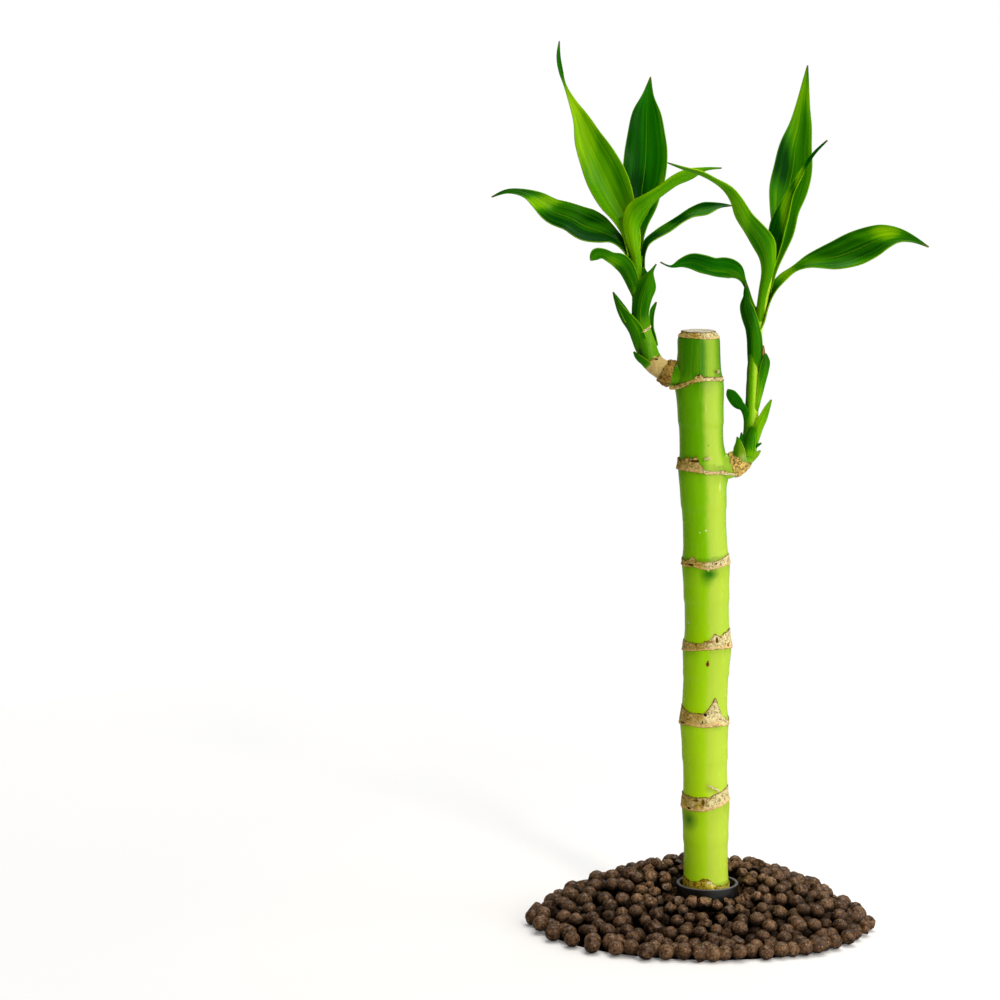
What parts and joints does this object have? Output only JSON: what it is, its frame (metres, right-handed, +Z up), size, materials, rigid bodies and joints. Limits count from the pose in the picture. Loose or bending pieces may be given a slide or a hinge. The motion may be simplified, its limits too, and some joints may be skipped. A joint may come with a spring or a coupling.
{
  "type": "lucky bamboo plant",
  "caption": "Lucky bamboo cane with two leafy shoots, in a small black cup that stands in a heap of dark clay pellets.",
  "frame": {"origin": "on the table, at the middle of the underside of the holder cup", "axes": "+Z up along the cane, +X towards the right shoot, -Y towards the viewer"},
  "size_m": [0.1889, 0.1125, 0.393],
  "materials": {
    "cane_green": "smooth satin bark of a living cane, yellow-green, darker at the left",
    "shoot_green": "smooth satin",
    "leaf_light": "glossy leaf with lengthwise veins",
    "leaf_green": "glossy leaf with lengthwise veins",
    "leaf_dark": "glossy leaf with lengthwise veins",
    "sheath_tan": "dry papery sheath, torn edges",
    "bark_brown": "rough dry bark",
    "wax": "dull wax",
    "cup_black": "satin black moulded plastic",
    "soil_dark": "damp crumbly growing medium",
    "pellet_clay": "matt burnt clay with a slight sheen"
  },
  "bodies": {
    "root": {"cane": "cane_green", "wax_seal": "wax", "scar_top": "sheath_tan", "scar_1": "sheath_tan", "scar_2": "sheath_tan", "scar_3": "sheath_tan", "scar_4": "sheath_tan", "scar_5": "sheath_tan", "scar_6": "sheath_tan", "scar_7": "sheath_tan", "left_stem": "shoot_green", "left_bark": "bark_brown", "right_stem": "shoot_green", "right_bark": "bark_brown", "left_leaf_upright_front": "leaf_light", "left_leaf_upright_back": "leaf_dark", "left_leaf_arching_right": "leaf_light", "left_leaf_arching_back": "leaf_green", "left_leaf_arching_left": "leaf_green", "left_leaf_curled": "leaf_green", "left_leaf_front_sheath": "leaf_green", "left_scale_back": "leaf_green", "left_scale_outer": "leaf_green", "left_scale_low": "leaf_green", "right_leaf_upright_back": "leaf_green", "right_leaf_folded": "leaf_dark", "right_leaf_arching_front": "leaf_light", "right_leaf_right": "leaf_green", "right_leaf_left": "leaf_dark", "right_leaf_front_sheath": "leaf_green", "right_scale_upper_right": "leaf_green", "right_leaf_short_left": "leaf_dark", "right_scale_outer": "leaf_green", "right_scale_front": "leaf_green", "right_scale_front_left": "sheath_tan", "right_scale_low": "leaf_green", "holder_cup": "cup_black", "cup_soil": "soil_dark", "pellet_heap": "pellet_clay"}
  },
  "joints": []
}
